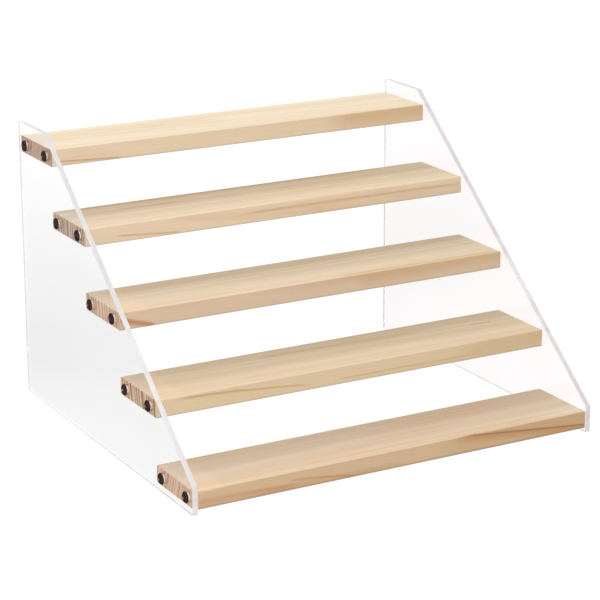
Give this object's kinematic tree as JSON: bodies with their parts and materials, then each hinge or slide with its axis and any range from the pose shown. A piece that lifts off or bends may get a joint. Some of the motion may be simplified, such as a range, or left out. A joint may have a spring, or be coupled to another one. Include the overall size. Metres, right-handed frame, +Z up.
{
  "type": "nail polish rack",
  "caption": "Stepped display rack: equal pine shelves rise front to back between two clear acrylic side panels, held at each end by black screws.",
  "frame": {"origin": "on the surface the rack stands on, under the centre of its bounding box", "axes": "+X along the shelves, to the right seen from the front; +Y from the low front to the high back; +Z up"},
  "size_m": [0.4172, 0.363, 0.27],
  "materials": {
    "clear_acrylic": "clear cast sheet with polished edges",
    "pine_1": "planed bare pine with a reddish heart streak",
    "pine_2": "planed bare pine",
    "pine_3": "planed bare pine",
    "pine_4": "planed bare pine",
    "pine_5": "planed bare pine, the palest board",
    "black_oxide_steel": "black oxide, satin"
  },
  "bodies": {
    "root": {"left_side_panel": "clear_acrylic", "right_side_panel": "clear_acrylic", "shelf_1": "pine_1", "shelf_2": "pine_2", "shelf_3": "pine_3", "shelf_4": "pine_4", "shelf_5": "pine_5", "screw_left_1_front": "black_oxide_steel", "screw_left_1_rear": "black_oxide_steel", "screw_left_2_front": "black_oxide_steel", "screw_left_2_rear": "black_oxide_steel", "screw_left_3_front": "black_oxide_steel", "screw_left_3_rear": "black_oxide_steel", "screw_left_4_front": "black_oxide_steel", "screw_left_4_rear": "black_oxide_steel", "screw_left_5_front": "black_oxide_steel", "screw_left_5_rear": "black_oxide_steel", "screw_right_1_front": "black_oxide_steel", "screw_right_1_rear": "black_oxide_steel", "screw_right_2_front": "black_oxide_steel", "screw_right_2_rear": "black_oxide_steel", "screw_right_3_front": "black_oxide_steel", "screw_right_3_rear": "black_oxide_steel", "screw_right_4_front": "black_oxide_steel", "screw_right_4_rear": "black_oxide_steel", "screw_right_5_front": "black_oxide_steel", "screw_right_5_rear": "black_oxide_steel"}
  },
  "joints": []
}
